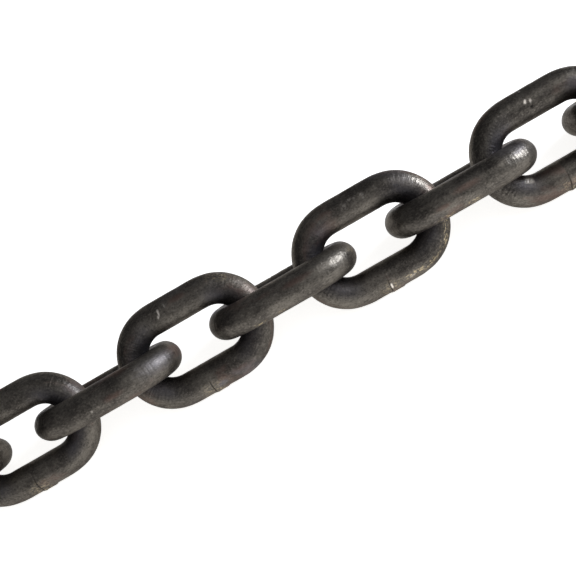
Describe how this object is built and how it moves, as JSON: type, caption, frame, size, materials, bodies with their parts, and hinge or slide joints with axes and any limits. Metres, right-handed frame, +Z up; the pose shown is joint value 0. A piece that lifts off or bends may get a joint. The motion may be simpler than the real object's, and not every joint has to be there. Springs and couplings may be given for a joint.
{
  "type": "short-link steel chain length",
  "caption": "Straight length of short-link round steel chain, welded oval links hung in one another, open eye at each end, for lifting, lashing or towing.",
  "frame": {"origin": "on the floor, below the middle of the chain's length", "axes": "+X along the chain towards link_16, +Z up, +Y across the chain"},
  "size_m": [0.9992, 0.0524, 0.0524],
  "materials": {
    "link_steel": "dark heat-treated scale, satin, lightly oiled"
  },
  "bodies": {
    "link_01": {"link_01": "link_steel"},
    "link_02": {"link_02": "link_steel"},
    "link_03": {"link_03": "link_steel"},
    "link_04": {"link_04": "link_steel"},
    "link_05": {"link_05": "link_steel"},
    "link_06": {"link_06": "link_steel"},
    "link_07": {"link_07": "link_steel"},
    "link_08": {"link_08": "link_steel"},
    "link_09": {"link_09": "link_steel"},
    "link_10": {"link_10": "link_steel"},
    "link_11": {"link_11": "link_steel"},
    "link_12": {"link_12": "link_steel"},
    "link_13": {"link_13": "link_steel"},
    "link_14": {"link_14": "link_steel"},
    "link_15": {"link_15": "link_steel"},
    "link_16": {"link_16": "link_steel"}
  },
  "joints": [
    {"name": "swing_02", "type": "hinge", "parent": "link_01", "child": "link_02", "pos_m": [-0.41015, 0, 0.02618], "axis": [0, -0.7071, -0.7071], "range_deg": [-110, 110]},
    {"name": "swing_03", "type": "hinge", "parent": "link_02", "child": "link_03", "pos_m": [-0.35015, 0, 0.02618], "axis": [0, -0.7071, 0.7071], "range_deg": [-110, 110]},
    {"name": "swing_04", "type": "hinge", "parent": "link_03", "child": "link_04", "pos_m": [-0.29015, 0, 0.02618], "axis": [0, 0.7071, 0.7071], "range_deg": [-110, 110]},
    {"name": "swing_05", "type": "hinge", "parent": "link_04", "child": "link_05", "pos_m": [-0.23015, 0, 0.02618], "axis": [0, 0.7071, -0.7071], "range_deg": [-110, 110]},
    {"name": "swing_06", "type": "hinge", "parent": "link_05", "child": "link_06", "pos_m": [-0.17015, 0, 0.02618], "axis": [0, -0.7071, -0.7071], "range_deg": [-110, 110]},
    {"name": "swing_07", "type": "hinge", "parent": "link_06", "child": "link_07", "pos_m": [-0.11015, 0, 0.02618], "axis": [0, -0.7071, 0.7071], "range_deg": [-110, 110]},
    {"name": "swing_08", "type": "hinge", "parent": "link_07", "child": "link_08", "pos_m": [-0.05015, 0, 0.02618], "axis": [0, 0.7071, 0.7071], "range_deg": [-110, 110]},
    {"name": "swing_09", "type": "hinge", "parent": "link_08", "child": "link_09", "pos_m": [0.00985, 0, 0.02618], "axis": [0, 0.7071, -0.7071], "range_deg": [-110, 110]},
    {"name": "swing_10", "type": "hinge", "parent": "link_09", "child": "link_10", "pos_m": [0.06985, 0, 0.02618], "axis": [0, -0.7071, -0.7071], "range_deg": [-110, 110]},
    {"name": "swing_11", "type": "hinge", "parent": "link_10", "child": "link_11", "pos_m": [0.12985, 0, 0.02618], "axis": [0, -0.7071, 0.7071], "range_deg": [-110, 110]},
    {"name": "swing_12", "type": "hinge", "parent": "link_11", "child": "link_12", "pos_m": [0.18985, 0, 0.02618], "axis": [0, 0.7071, 0.7071], "range_deg": [-110, 110]},
    {"name": "swing_13", "type": "hinge", "parent": "link_12", "child": "link_13", "pos_m": [0.24985, 0, 0.02618], "axis": [0, 0.7071, -0.7071], "range_deg": [-110, 110]},
    {"name": "swing_14", "type": "hinge", "parent": "link_13", "child": "link_14", "pos_m": [0.30985, 0, 0.02618], "axis": [0, -0.7071, -0.7071], "range_deg": [-110, 110]},
    {"name": "swing_15", "type": "hinge", "parent": "link_14", "child": "link_15", "pos_m": [0.36985, 0, 0.02618], "axis": [0, -0.7071, 0.7071], "range_deg": [-110, 110]},
    {"name": "swing_16", "type": "hinge", "parent": "link_15", "child": "link_16", "pos_m": [0.42985, 0, 0.02618], "axis": [0, 0.7071, 0.7071], "range_deg": [-110, 110]}
  ]
}
